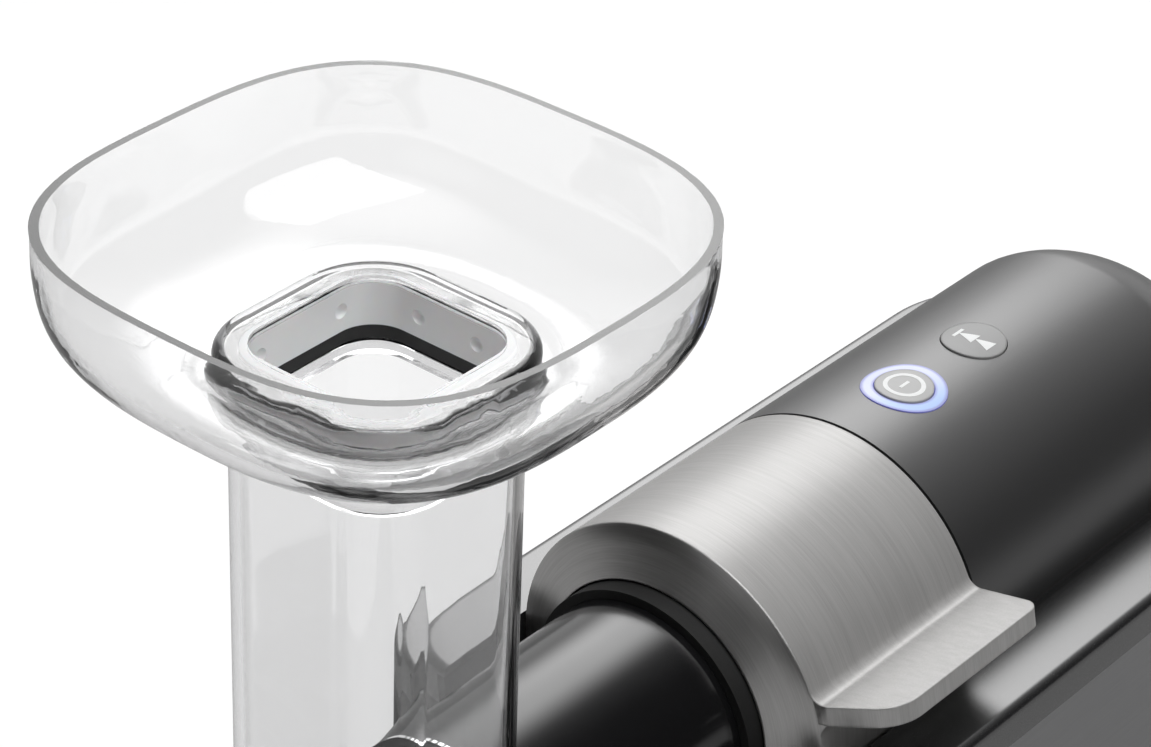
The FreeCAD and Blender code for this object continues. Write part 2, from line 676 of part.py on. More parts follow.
def motor_end(front_x, thickness, bore):
    """A round plate with a flat top, bored for a bearing and drilled for the tie bolts."""
    x0, x1 = front_x - 1, front_x + thickness + 1
    plate = disc_x(BRACKET_R, front_x, front_x + thickness)
    plate = plate.common(block(x0, x1, -BRACKET_R, BRACKET_R, -BRACKET_R, BRACKET_TOP))
    holes = [disc_x(TIE_BOLT_R + 0.1, x0, x1, z, y) for y, z in tie_bolt_places()]
    return plate.cut(disc_x(bore, x0, x1)).cut(Part.makeCompound(holes))


def tie_bolt_places():
    """Four places just outside the stator."""
    return round_places(STATOR_R + 2.6, 4, 35)


def motor_bolts():
    """Tie bolts from the rear bracket to the front flange."""
    bolts = []
    for y, z in tie_bolt_places():
        head_x = END_BRACKET_X + BRACKET
        bolt = disc_x(TIE_BOLT_R, CASE_REAR_X + 1, head_x + 3, z, y)
        bolts.append(bolt.fuse(disc_x(TIE_BOLT_R * 1.8, head_x, head_x + 4, z, y)))
    return Part.makeCompound(bolts)


def motor_front_flange():
    """Front flange that ties the motor to the gear case."""
    return motor_end(CASE_REAR_X, FRONT_FLANGE, BEARING_R)


def cooling_fan():
    """Fan with flat slanted blades on a hub."""
    hub = ring_x(10, MOTOR_SHAFT_R, FAN_X, FAN_X + 9)
    fan = hub
    for k in range(FAN_BLADES):
        blade = block(FAN_X + 0.5, FAN_X + 8.5, -0.8, 0.8, 9, FAN_R)
        blade.rotate(Vec(FAN_X + 4.5, 0, 0), Z_DIR, 25)
        blade.rotate(ORIGIN, X_DIR, 360 * k / FAN_BLADES)
        fan = fan.fuse(blade)
    return fan.removeSplitter()


def motor_saddle():
    """Cradle from the base plate up to the stator."""
    foot = BODY_FOOT + BASE_PLATE - AXIS_HEIGHT
    x0, x1 = SADDLE_X
    saddle = block(x0, x1, -SADDLE_HALF, SADDLE_HALF, foot, SADDLE_TOP)
    hollow = SADDLE_HALF - 8
    saddle = saddle.cut(block(x0 - 1, x1 + 1, -hollow, hollow, foot + 5, -STATOR_R - 10))
    saddle = saddle.cut(disc_x(STATOR_R, x0 - 1, x1 + 1))
    holes = [disc_x(TIE_BOLT_R + 1.2, x0 - 1, x1 + 1, z, y) for y, z in tie_bolt_places()]
    return saddle.cut(Part.makeCompound(holes))


def dome_points(radius, length):
    """Points of the barrel's rear end, a superellipse from the barrel to the axis."""
    points = []
    steps = 14
    for k in range(steps + 1):
        turn = math.pi / 2 * k / steps
        x = DOME_X + length * math.sin(turn) ** (2 / DOME_POWER)
        r = radius * max(0.0, math.cos(turn)) ** (2 / DOME_POWER)
        points.append(Vec(x, 0, r))
    points[-1] = Vec(DOME_X + length, 0, 0)
    return points


def barrel_solid(radius, length, front_x):
    """The motor barrel with its rear dome as one turned solid."""
    curve = Part.BSplineCurve()
    curve.interpolate(Points=dome_points(radius, length), InitialTangent=Vec(1, 0, 0),
                      FinalTangent=Vec(0, 0, -1))
    dome = curve.toShape()
    corners = [Vec(DOME_X + length, 0, 0), Vec(front_x, 0, 0), Vec(front_x, 0, radius),
               Vec(DOME_X, 0, radius)]
    lines = [Part.makeLine(a, b) for a, b in zip(corners, corners[1:])]
    face = Part.Face(Part.Wire([dome] + lines))
    return face.revolve(ORIGIN, X_DIR, 360)


def upper_housing():
    """Satin barrel and dome over a glossy deck with a rounded shoulder, moulded in one, with holes
    for the buttons."""
    deck = body_block(0, -DECK_SIDE, 0)
    deck = deck.makeFillet(SHOULDER_R, [e for e in deck.Edges if e.BoundBox.ZMin > -0.01])
    deck = deck.cut(body_block(PANEL_SKIN + SHELL, -DECK_SIDE - 1, -DECK))
    pipe_room = disc_x(TROUGH_R + SHELL, BODY_FRONT_X - 1, BODY_FRONT_X + BODY_FRONT_CORNER)
    deck = deck.cut(pipe_room.common(block(BODY_FRONT_X - 1, SEAM_X, -90, 90, -90, -DECK)))
    barrel = barrel_solid(BARREL_R, DOME_LENGTH, SEAM_X)
    barrel = barrel.common(block(SEAM_X - 1, REAR_X, -90, 90, -DECK, 90))
    housing = deck.fuse(barrel).fuse(deck_cove()).removeSplitter()
    inside = barrel_solid(BARREL_R - SHELL, DOME_LENGTH - SHELL, SEAM_X + BULKHEAD)
    housing = housing.cut(inside).cut(disc_x(TROUGH_R, BODY_FRONT_X - 10, SEAM_X))
    housing = housing.cut(disc_x(BARREL_R - SHELL, SEAM_X - 1, SEAM_X + BULKHEAD + 1))
    for x, y in board_places():
        housing = housing.fuse(post(2.2, x, y, BOARD_UP + 1.6, BARREL_R - SHELL))
    housing = housing.cut(post(LIGHT_RING_R + 0.1, POWER_X, 0, 30, 70))
    return housing.cut(post(REVERSE_CAP_R + BUTTON_GAP, REVERSE_X, 0, 30, 70))


def deck_cove():
    """The hollow curve between barrel and deck, carried round the barrel's plan outline."""
    front = Vec(SEAM_X, BARREL_R, 0)
    side = Vec(DOME_X, BARREL_R, 0)
    halves = dome_points(BARREL_R, DOME_LENGTH)
    points = [Vec(p.x, p.z, 0) for p in halves] + [Vec(p.x, -p.z, 0) for p in reversed(halves[:-1])]
    curve = Part.BSplineCurve()
    curve.interpolate(Points=points, InitialTangent=Vec(1, 0, 0), FinalTangent=Vec(-1, 0, 0))
    far_side = Vec(DOME_X, -BARREL_R, 0)
    far_front = Vec(SEAM_X, -BARREL_R, 0)
    path = Part.Wire([Part.makeLine(front, side), curve.toShape(), Part.makeLine(far_side, far_front)])
    centre_y = math.sqrt((BARREL_R + BARREL_FILLET) ** 2 - BARREL_FILLET ** 2)
    rise = math.asin(BARREL_FILLET / (BARREL_R + BARREL_FILLET))
    low = Vec(SEAM_X, centre_y, 0)
    high = Vec(SEAM_X, BARREL_R * math.cos(rise), BARREL_R * math.sin(rise))
    halfway = math.pi + rise + (math.pi / 2 - rise) / 2
    middle = Vec(SEAM_X, centre_y + BARREL_FILLET * math.cos(halfway),
                 BARREL_FILLET * (1 + math.sin(halfway)))
    inner = BARREL_R - 1
    corners = [high, Vec(SEAM_X, inner, high.z), Vec(SEAM_X, inner, -1), Vec(SEAM_X, centre_y, -1), low]
    lines = [Part.makeLine(a, b) for a, b in zip(corners, corners[1:])]
    profile = Part.Wire(lines + [Part.Arc(low, middle, high).toShape()])
    return path.makePipeShell([profile], True, False)


def side_panel(side):
    """One brushed side skin, wrapped a little round the rear corner."""
    foot = BODY_FOOT + BASE_PLATE - AXIS_HEIGHT
    skin = body_block(0, foot, -DECK_SIDE).cut(body_block(PANEL_SKIN, foot - 1, 0))
    y0, y1 = sorted((0, side * 100))
    return skin.common(block(PANEL_FRONT_X, PANEL_REAR_X, y0, y1, foot - 1, 0))


def chassis():
    """Black inner body: side walls behind the skins, thicker ends, and the trough for the ring."""
    foot = BODY_FOOT - AXIS_HEIGHT
    walls = body_block(PANEL_SKIN, foot, -DECK_SIDE)
    ends = body_block(0, foot, -DECK_SIDE)
    kick = BODY_FOOT + BASE_PLATE - AXIS_HEIGHT
    ends = ends.cut(block(PANEL_FRONT_X, PANEL_REAR_X, -100, 100, kick, 0))
    shape = walls.fuse(ends).removeSplitter()
    shape = shape.cut(body_block(PANEL_SKIN + SHELL, foot - 1, 1))
    pipe = ring_x(TROUGH_R + SHELL, TROUGH_R, BODY_FRONT_X, SEAM_X)
    pipe = pipe.common(body_block(0, -90, -DECK))
    shape = shape.cut(disc_x(TROUGH_R, BODY_FRONT_X - 1, SEAM_X)).fuse(pipe).removeSplitter()
    for x, y in base_screw_places():
        shape = shape.fuse(post(SCREW_HEAD_R + 3, x, y, kick, kick + 18))
        shape = shape.cut(post(SCREW_R, x, y, kick - 1, kick + 12))
    for row in range(4):
        level = foot + 60 + 9 * row
        shape = shape.cut(block(REAR_X - 20, REAR_X + 1, -26, 26, level, level + 4))
    return shape.cut(disc_x(8.2, REAR_X - 20, REAR_X + 1, foot + 30))


def base_plate():
    """Bottom plate with vent slots and screw holes."""
    foot = BODY_FOOT - AXIS_HEIGHT
    plate = body_block(PANEL_SKIN + SHELL + 0.2, foot, foot + BASE_PLATE)
    for k in range(9):
        x = 270 + 9 * k
        plate = plate.cut(block(x, x + 4, -30, 30, foot - 1, foot + BASE_PLATE + 1))
    for x, y in base_screw_places():
        plate = plate.cut(post(SCREW_R, x, y, foot - 1, foot + BASE_PLATE + 1))
    return plate


def base_screw_places():
    """Places beside the walls, between the feet."""
    return [(x, side * BASE_SCREW_Y) for x in BASE_SCREW_X for side in (-1, 1)]


def base_screws():
    """Screws that hold the base plate to the bosses on the chassis."""
    foot = BODY_FOOT - AXIS_HEIGHT
    screws = []
    for x, y in base_screw_places():
        shank = post(SCREW_R, x, y, foot, foot + 12)
        screws.append(shank.fuse(post(SCREW_HEAD_R, x, y, foot - 2.4, foot)))
    return Part.makeCompound(screws)


def rubber_foot(x, y):
    """Round foot with a softened edge, wider at the top."""
    foot = Part.makeCone(FOOT_R - 1.5, FOOT_R, BODY_FOOT, Vec(x, y, -AXIS_HEIGHT), Z_DIR)
    rim = [e for e in foot.Edges if abs(e.BoundBox.ZMax + AXIS_HEIGHT) < 0.01 and len(e.Vertexes) == 1]
    return foot.makeFillet(1.0, rim)


def barrel_cap(radius, x, foot, proud):
    """A round cap whose top follows the barrel, standing proud of it."""
    cap = post(radius, x, 0, foot, BARREL_R + 5)
    return cap.common(disc_x(BARREL_R + proud, x - 30, x + 30))


def power_button():
    """Round push cap inside the light ring."""
    return barrel_cap(POWER_CAP_R, POWER_X, BUTTON_FOOT, 0.8)


def light_ring():
    """Translucent ring round the power button, flush with the barrel."""
    ring = barrel_cap(LIGHT_RING_R, POWER_X, BARREL_R - 7, 0.3)
    return ring.cut(post(POWER_CAP_R + BUTTON_GAP, POWER_X, 0, 30, 70))


def reverse_button():
    """Larger single push cap for reverse."""
    return barrel_cap(REVERSE_CAP_R, REVERSE_X, BUTTON_FOOT, 0.5)


def board_places():
    """Where the circuit board hangs from the barrel."""
    return [(x, y) for x in (POWER_X - 13.5, REVERSE_X + 13.5) for y in (-13, 13)]


def control_board():
    """Circuit board under the buttons."""
    return block(POWER_X - 16, REVERSE_X + 16, -16, 16, BOARD_UP, BOARD_UP + 1.6)


def button_switches():
    """A tactile switch under each button: a square base and a round plunger."""
    switches = []
    for x in (POWER_X, REVERSE_X):
        base = block(x - 4, x + 4, -4, 4, BOARD_UP + 1.6, BOARD_UP + 3.6)
        switches.append(base.fuse(post(1.6, x, 0, BOARD_UP + 3.6, BUTTON_FOOT - 1.8)))
    return Part.makeCompound(switches)


def leds():
    """Four small lamps under the light ring."""
    lamps = []
    for k in range(4):
        angle = math.radians(45 + 90 * k)
        x = POWER_X + 11.6 * math.cos(angle)
        y = 11.6 * math.sin(angle)
        lamps.append(post(1.4, x, y, BOARD_UP + 1.6, BOARD_UP + 5))
    return Part.makeCompound(lamps)


def capacitor():
    """Motor capacitor lying on the base plate."""
    foot = BODY_FOOT + BASE_PLATE - AXIS_HEIGHT
    can = disc_x(17, 330, 388, foot + 18, 30)
    return can.fuse(block(340, 378, 22, 38, foot, foot + 8)).removeSplitter()


def power_board():
    """Power circuit board on four pillars beside the capacitor."""
    foot = BODY_FOOT + BASE_PLATE - AXIS_HEIGHT
    board = block(326, 392, -56, -6, foot + 8, foot + 9.6)
    board = board.fuse(block(334, 356, -48, -24, foot + 9.6, foot + 28))
    for x in (330, 388):
        for y in (-52, -10):
            board = board.fuse(post(2.5, x, y, foot, foot + 8))
    return board.removeSplitter()


def cord_inlet():
    """Rubber bush in the rear wall where the mains lead goes in."""
    level = BODY_FOOT - AXIS_HEIGHT + 30
    bush = disc_x(8.1, REAR_X - 5.5, REAR_X, level).fuse(disc_x(11, REAR_X - 9, REAR_X - 5.5, level))
    return bush.cut(disc_x(3.6, REAR_X - 10, REAR_X + 1, level))


PIECES = {
    "hopper_tray": hopper_tray,
    "throat_liner": throat_liner,
    "throat_seal": throat_seal,
    "feed_tube": feed_tube,
    "juicing_drum": juicing_drum,
    "drum_collar": drum_collar,
    "auger": auger,
    "auger_seal": auger_seal,
    "strainer": strainer,
    "pulp_end_plate": pulp_end_plate,
    "front_nut": front_nut,
    "locking_ring": locking_ring,
    "drum_seat": drum_seat,
    "seat_screws": seat_screws,
    "gearbox_cover": gearbox_cover,
    "bulkhead": bulkhead,
    "gear_case": gear_case,
    "output_shaft": output_shaft,
    "output_gear": lambda: gear(WHEEL_TEETH, OUTPUT_GEAR_X, OUTPUT_SHAFT_R, 0, True),
    "output_bearing_front": lambda: bearing(OUTPUT_SHAFT_R, BEARING_R, COVER_NOSE_X, BEARING_WIDTH),
    "output_bearing_rear": lambda: bearing(OUTPUT_SHAFT_R, BEARING_R, SEAT_REAR_X - 2, BEARING_WIDTH),
    "layshaft": lambda: disc_x(LAYSHAFT_R, LAY_POCKET_X[0] + 0.5, LAY_POCKET_X[1] - 0.5, LAY_Z),
    "lay_pinion": lambda: gear(PINION_TEETH, LAY_PINION_X, LAYSHAFT_R, LAY_Z, False),
    "lay_gear": lambda: gear(WHEEL_TEETH, LAY_GEAR_X, LAYSHAFT_R, LAY_Z, True),
    "lay_bush_front": lambda: ring_x(BUSH_R, LAYSHAFT_R + RUNNING_GAP, LAY_POCKET_X[0], SEAM_X, LAY_Z),
    "lay_bush_rear": lambda: ring_x(BUSH_R, LAYSHAFT_R + RUNNING_GAP, CASE_BACK_X, LAY_POCKET_X[1],
                                    LAY_Z),
    "motor_shaft": motor_shaft,
    "motor_pinion": lambda: gear(PINION_TEETH, MOTOR_PINION_X, PINION_SEAT_R, 0, False),
    "rotor_core": rotor_core,
    "stator_core": stator_core,
    "winding_front": lambda: winding(STATOR_X[0] - WINDING_LENGTH),
    "winding_rear": lambda: winding(STATOR_X[1]),
    "motor_front_flange": motor_front_flange,
    "motor_end_bracket": motor_end_bracket,
    "motor_bearing_front": lambda: bearing(MOTOR_SHAFT_R, MOTOR_BEARING_R, CASE_BACK_X, CASE_BACK),
    "motor_bearing_rear": lambda: bearing(MOTOR_SHAFT_R, BEARING_R, END_BRACKET_X, BRACKET),
    "motor_bolts": motor_bolts,
    "cooling_fan": cooling_fan,
    "motor_saddle": motor_saddle,
    "upper_housing": upper_housing,
    "side_panel_left": lambda: side_panel(1),
    "side_panel_right": lambda: side_panel(-1),
    "chassis": chassis,
    "base_plate": base_plate,
    "foot_front_left": lambda: rubber_foot(FOOT_X[0], FOOT_Y),
    "foot_front_right": lambda: rubber_foot(FOOT_X[0], -FOOT_Y),
    "foot_rear_left": lambda: rubber_foot(FOOT_X[1], FOOT_Y),
    "foot_rear_right": lambda: rubber_foot(FOOT_X[1], -FOOT_Y),
    "base_screws": base_screws,
    "power_button": power_button,
    "light_ring": light_ring,
    "reverse_button": reverse_button,
    "control_board": control_board,
    "button_switches": button_switches,
    "leds": leds,
    "capacitor": capacitor,
    "power_board": power_board,
    "cord_inlet": cord_inlet,
}

for name, make in PIECES.items():
    save(name, make())
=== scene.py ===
import math

import bpy
import numpy as np
from mathutils import Matrix, Vector


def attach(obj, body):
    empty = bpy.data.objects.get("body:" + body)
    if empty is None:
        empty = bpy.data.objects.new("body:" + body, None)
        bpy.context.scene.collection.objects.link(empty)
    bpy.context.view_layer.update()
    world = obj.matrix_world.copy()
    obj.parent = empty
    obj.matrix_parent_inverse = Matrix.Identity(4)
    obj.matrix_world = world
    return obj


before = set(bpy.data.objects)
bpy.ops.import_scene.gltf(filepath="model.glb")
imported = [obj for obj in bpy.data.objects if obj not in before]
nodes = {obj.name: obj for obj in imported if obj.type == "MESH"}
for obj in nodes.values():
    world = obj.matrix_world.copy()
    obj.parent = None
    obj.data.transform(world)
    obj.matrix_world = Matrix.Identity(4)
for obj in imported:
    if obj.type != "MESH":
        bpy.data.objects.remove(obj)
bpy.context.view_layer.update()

scene = bpy.context.scene


# The camera stands on the pulp side of the machine, above the tray and to the lever's side,
# a little turned about its own line of sight, with a lens of about 116 mm.
camera_azimuth = math.radians(-51.293)
camera_elevation = math.radians(31.964)
camera_roll = math.radians(-2.230)
back = Vector((
    math.sin(camera_azimuth) * math.cos(camera_elevation),
    -math.cos(camera_azimuth) * math.cos(camera_elevation),
    math.sin(camera_elevation),
))
level_right = Vector((math.cos(camera_azimuth), math.sin(camera_azimuth), 0))
level_up = back.cross(level_right)
camera_right = level_right * math.cos(camera_roll) - level_up * math.sin(camera_roll)
camera_up = level_right * math.sin(camera_roll) + level_up * math.cos(camera_roll)
lens = bpy.data.cameras.new("camera")
lens.sensor_width = 36
lens.lens = 116.51
lens.clip_start, lens.clip_end = 0.05, 30
camera = bpy.data.objects.new("camera", lens)
camera.matrix_world = Matrix.Translation((-0.7428, -0.5393, 0.8256)) @ Matrix(
    (camera_right, camera_up, back)).transposed().to_4x4()
scene.collection.objects.link(camera)
scene.camera = camera
scene.view_settings.view_transform = "Standard"


# The studio: a white backdrop that curves round the far side of the machine, a bright ceiling, and a dark
# room with one faint panel on the near side. A long soft strip lamp hangs over the backdrop, a softbox
# stands overhead, and the floor is pale.
class Reading:
    """A number or colour that a material works out. Plain arithmetic on it adds Math nodes."""

    def __init__(self, recipe, socket):
        self.recipe = recipe
        self.socket = socket

    def work(self, operation, *values):
        return self.recipe.node("ShaderNodeMath", {"operation": operation}, dict(enumerate(values)))

    def __add__(self, other):
        return self.work("ADD", self, other)

    def __sub__(self, other):
        return self.work("SUBTRACT", self, other)

    def __rsub__(self, other):
        return self.work("SUBTRACT", other, self)

    def __mul__(self, other):
        return self.work("MULTIPLY", self, other)

    def __pow__(self, other):
        return self.work("POWER", self, other)

    __radd__ = __add__
    __rmul__ = __mul__

    def size(self):
        """The value without its sign."""
        return self.work("ABSOLUTE", self)

    def rise(self, low, high):
        """0 below low, 1 above high, and a smooth step between."""
        return self.recipe.node("ShaderNodeMapRange", {"interpolation_type": "SMOOTHSTEP"},
                                {"Value": self, "From Min": low, "From Max": high})


class Recipe:
    """The nodes of one material, world or stage surface."""

    def __init__(self, owner):
        owner.use_nodes = True
        self.owner = owner
        self.tree = owner.node_tree
        self.tree.nodes.clear()

    def node(self, kind, settings, sockets, out=0):
        """Adds one node, sets its settings first and then its sockets, and reads one output."""
        made = self.tree.nodes.new(kind)
        for key, value in settings.items():
            setattr(made, key, value)
        for key, value in sockets.items():
            if isinstance(value, Reading):
                self.tree.links.new(value.socket, made.inputs[key])
            else:
                made.inputs[key].default_value = value
        return Reading(self, made.outputs[out]) if len(made.outputs) else made


def ray_kinds(recipe):
    """1 or 0 for a ray straight from the eye, one off gloss and one through a clear wall."""
    return [recipe.node("ShaderNodeLightPath", {}, {}, out)
            for out in ("Is Camera Ray", "Is Glossy Ray", "Is Transmission Ray")]


world = bpy.data.worlds.new("studio")
scene.world = world
room = Recipe(world)
sight = room.node("ShaderNodeTexCoord", {}, {}, "Generated")
sight_x, sight_y, sight_z = [
    room.node("ShaderNodeSeparateXYZ", {}, {0: sight}, out) for out in ("X", "Y", "Z")]
backdrop = (sight_x * 0.78 + sight_y * 0.62).rise(0.22, 1.0)
ceiling = sight_z.rise(0.78, 0.97)
near_panel = (sight_z * 0.45 - sight_x * 0.89).rise(0.88, 1.0)
to_strip = (sight_x * 0.66 + sight_y * 0.43 + sight_z * 0.615).rise(0.3, 0.6)
along_strip = (sight_y * 0.753 - sight_z * 0.658 + 0.07).size()
across_strip = (sight_y * 0.451 + sight_z * 0.482 - sight_x * 0.748).size()
strip_lamp = to_strip * (1 - along_strip.rise(0.12, 0.52)) * (1 - across_strip.rise(0.02, 0.24))
from_eye, off_gloss, through_clear = ray_kinds(room)
bounced = off_gloss.work("MAXIMUM", off_gloss, through_clear)
white_share = from_eye.work("MAXIMUM", from_eye, backdrop * bounced)
backdrop_level, ceiling_level, near_panel_level, dark_level, strip_level = 0.4, 1.3, 0.25, 0.02, 4.2
room_level = (backdrop * backdrop_level + ceiling * ceiling_level
              + near_panel * near_panel_level + dark_level)
room_light = room.node("ShaderNodeBackground", {}, {
    "Color": (1, 1, 1, 1),
    "Strength": room_level + (1 - room_level) * white_share + strip_lamp * (1 - from_eye) * strip_level})
room.node("ShaderNodeOutputWorld", {}, {"Surface": room_light})

floor_half = 6.0
floor_mesh = bpy.data.meshes.new("floor")
floor_mesh.from_pydata([(-floor_half, -floor_half, 0), (floor_half, -floor_half, 0),
                        (floor_half, floor_half, 0), (-floor_half, floor_half, 0)], [], [(0, 1, 2, 3)])
floor = bpy.data.objects.new("floor", floor_mesh)
scene.collection.objects.link(floor)
ground = Recipe(bpy.data.materials.new("pale_floor"))
matt_floor = ground.node("ShaderNodeBsdfDiffuse", {}, {"Color": (0.38, 0.38, 0.38, 1)})
from_eye, off_gloss, through_clear = ray_kinds(ground)
floor_seen, floor_in_gloss = 0.67, 0.05
bright_floor = ground.node("ShaderNodeEmission", {}, {
    "Color": (1, 1, 1, 1),
    "Strength": from_eye.work("MAXIMUM", from_eye, through_clear) * floor_seen
                + off_gloss * floor_in_gloss})
ground.node("ShaderNodeOutputMaterial", {}, {
    "Surface": ground.node("ShaderNodeAddShader", {}, {0: matt_floor, 1: bright_floor})})
floor_mesh.materials.append(ground.owner)


def softbox(name, place, target, width, length, power):
    """A rectangular lamp that faces the target."""
    lamp = bpy.data.lights.new(name, "AREA")
    lamp.shape = "RECTANGLE"
    lamp.size, lamp.size_y = width, length
    lamp.energy = power
    holder = bpy.data.objects.new(name, lamp)
    aim = (Vector(target) - Vector(place)).to_track_quat("-Z", "Y")
    holder.matrix_world = Matrix.Translation(place) @ aim.to_matrix().to_4x4()
    scene.collection.objects.link(holder)


softbox("overhead_softbox", place=(0.05, -1.3, 3.0), target=(0.05, 0.0, 0.15), width=3.0, length=4.0,
        power=76)


# Hopper tray: one clear moulding with a square rim, a collar round the throat and a skirt that
# slips over the tube. Polished inside and out, with the faint waves of a thick moulded wall.
weld_gap = 1e-6
sharpest_smooth_bend = math.radians(28)


def smooth_over_edges(name):
    """Shades a node's welded faces smooth and splits them where they meet at a sharper bend."""
    piece = nodes[name]
    mesh = piece.data
    mesh.polygons.foreach_set("use_smooth", np.ones(len(mesh.polygons), bool))
    weld = piece.modifiers.new("weld", "WELD")
    weld.merge_threshold = weld_gap
    split = piece.modifiers.new("split", "EDGE_SPLIT")
    split.split_angle = sharpest_smooth_bend


def new_recipe(name):
    """A material recipe with its place on the object in metres as x, y and z."""
    recipe = Recipe(bpy.data.materials.new(name))
    recipe.place = recipe.node("ShaderNodeTexCoord", {}, {}, "Object")
    recipe.x, recipe.y, recipe.z = [
        recipe.node("ShaderNodeSeparateXYZ", {}, {0: recipe.place}, out) for out in ("X", "Y", "Z")]
    return recipe


def grain(recipe, scale, detail=2.0, stretch=(1, 1, 1), place=None):
    """Noise from 0 to 1 with scale waves a metre, drawn out along an axis by stretch."""
    spread = recipe.node("ShaderNodeMapping", {}, {"Vector": place or recipe.place, "Scale": stretch})
    return recipe.node("ShaderNodeTexNoise", {}, {"Vector": spread, "Scale": scale, "Detail": detail})


def bumped(recipe, height, depth, edge=0.0):
    """A normal for a height from 0 to 1 that stands depth metres high, over edges rounded by edge."""
    sockets = {"Height": height, "Strength": 1.0, "Distance": depth}
    if edge:
        sockets["Normal"] = recipe.node("ShaderNodeBevel", {"samples": 6}, {"Radius": edge})
    return recipe.node("ShaderNodeBump", {}, sockets)


def between(recipe, factor, low, high):
    """A colour between two, by a factor."""
    return recipe.node("ShaderNodeMix", {"data_type": "RGBA"}, {
        "Factor": factor, 6: (*low, 1), 7: (*high, 1)}, 2)


def surface(recipe, colour, **sockets):
    """The finished material, from a colour and the shader's other sockets."""
    values = {name.replace("_", " "): value for name, value in sockets.items()}
    values["Base Color"] = colour if isinstance(colour, Reading) else (*colour, 1)
    shader = recipe.node("ShaderNodeBsdfPrincipled", {}, values)
    recipe.node("ShaderNodeOutputMaterial", {}, {"Surface": shader})
    return recipe.owner


def wear(material, *names):
    """Puts one material on CAD nodes and gives them smooth shading."""
    for name in names:
        mesh = nodes[name].data
        mesh.materials.clear()
        mesh.materials.append(material)
        smooth_over_edges(name)


def clear_moulding(name, wave_depth, density):
    """Clear plastic that lets lamp light through, and greys what is behind it with its thickness."""
    recipe = new_recipe(name)
    waves = grain(recipe, 9.0, 1.0)
    glass = recipe.node("ShaderNodeBsdfPrincipled", {}, {
        "Base Color": (1, 1, 1, 1), "Transmission Weight": 1.0, "IOR": 1.5,
        "Roughness": 0.015, "Normal": bumped(recipe, waves, wave_depth)})
    clear = recipe.node("ShaderNodeBsdfTransparent", {}, {"Color": (1, 1, 1, 1)})
    lamp_ray = recipe.node("ShaderNodeLightPath", {}, {}, "Is Shadow Ray")
    recipe.node("ShaderNodeOutputMaterial", {}, {
        "Surface": recipe.node("ShaderNodeMixShader", {}, {0: lamp_ray * 0.97, 1: glass, 2: clear}),
        "Volume": recipe.node("ShaderNodeVolumeAbsorption", {}, {
            "Color": (0.80, 0.80, 0.803, 1), "Density": density})})
    return recipe.owner


wear(clear_moulding("tray_clear", 0.0001, 250.0), "hopper_tray")


# Throat liner: a pale grey sleeve of smooth plastic, pressed up under the tray's collar. Two round
# dimples are moulded into each of its four walls.
def liner_finish():
    recipe = new_recipe("liner_grey")
    cloud = grain(recipe, 60.0)
    return surface(recipe, between(recipe, cloud, (0.86, 0.865, 0.87), (0.92, 0.925, 0.93)),
                   Roughness=0.22 + cloud * 0.08, Subsurface_Weight=0.15, Subsurface_Scale=0.003)


wear(liner_finish(), "throat_liner")


# Throat seal: a soft black silicone band, held between the liner and the tube's ledge. The auger's
# seal is the same silicone.
def rubber_finish(name, tone):
    recipe = new_recipe(name)
    dust = grain(recipe, 900.0, 3.0)
    return surface(recipe, between(recipe, dust, (tone, tone, tone), (tone * 1.6,) * 3),
                   Roughness=0.55 + dust * 0.2, Normal=bumped(recipe, dust, 0.00002))


wear(rubber_finish("seal_black", 0.018), "throat_seal", "auger_seal")


# Feed tube: a clear rounded-square chute with a ledge under the seal. Its foot is cut to the drum's
# crown, and its walls wave a little more than the tray's.
wear(clear_moulding("tube_clear", 0.0003, 260.0), "feed_tube")


# Juicing drum: injection moulded in black, polished like piano lacquer, with a fine parting line
# along its crown.
def polished_black(name, haze):
    recipe = new_recipe(name)
    waves = grain(recipe, 14.0, 1.0)
    smears = grain(recipe, 55.0, 4.0)
    return surface(recipe, (0.006, 0.006, 0.0065), Roughness=haze + smears * 0.05,
                   IOR=1.6, Normal=bumped(recipe, waves, 0.00012))


wear(polished_black("drum_black", 0.12), "juicing_drum", "pulp_end_plate")


# Drum collar, front nut and seat: matt black mouldings with a fine spark-eroded grain. The fan, the
# motor's saddle and the switches inside are moulded the same way.
def matt_black(name, tone=0.006, rough=0.55):
    recipe = new_recipe(name)
    pits = grain(recipe, 2600.0, 2.0)
    cloud = grain(recipe, 40.0, 3.0)
    return surface(recipe, between(recipe, cloud, (tone,) * 3, (tone * 1.5,) * 3),
                   Roughness=rough + pits * 0.12, Specular_IOR_Level=0.3,
                   Normal=bumped(recipe, pits, 0.00003))


wear(matt_black("collar_black"), "drum_collar", "front_nut", "drum_seat", "cooling_fan", "motor_saddle",
     "button_switches")


# Auger: one moulding of glass-filled plastic, dull and dark, with a slight mottling of the filler. It
# turns inside the drum.
wear(matt_black("auger_black", 0.03, 0.42), "auger")


# Strainer: a thin stainless sleeve with slots punched through it, in a pocket at the drum's front. The
# brush marks of all the steel pieces are worked out here.
axis_height = 0.150
brush_radius = 0.055
brush_round, brush_lengthwise = (1, 0.012, 0.3), (0.012, 1, 1)


def off_axis(recipe):
    """Distance from the machine axis: the root of across squared plus height over it squared."""
    up = recipe.z - axis_height
    return (recipe.y * recipe.y + up * up) ** 0.5


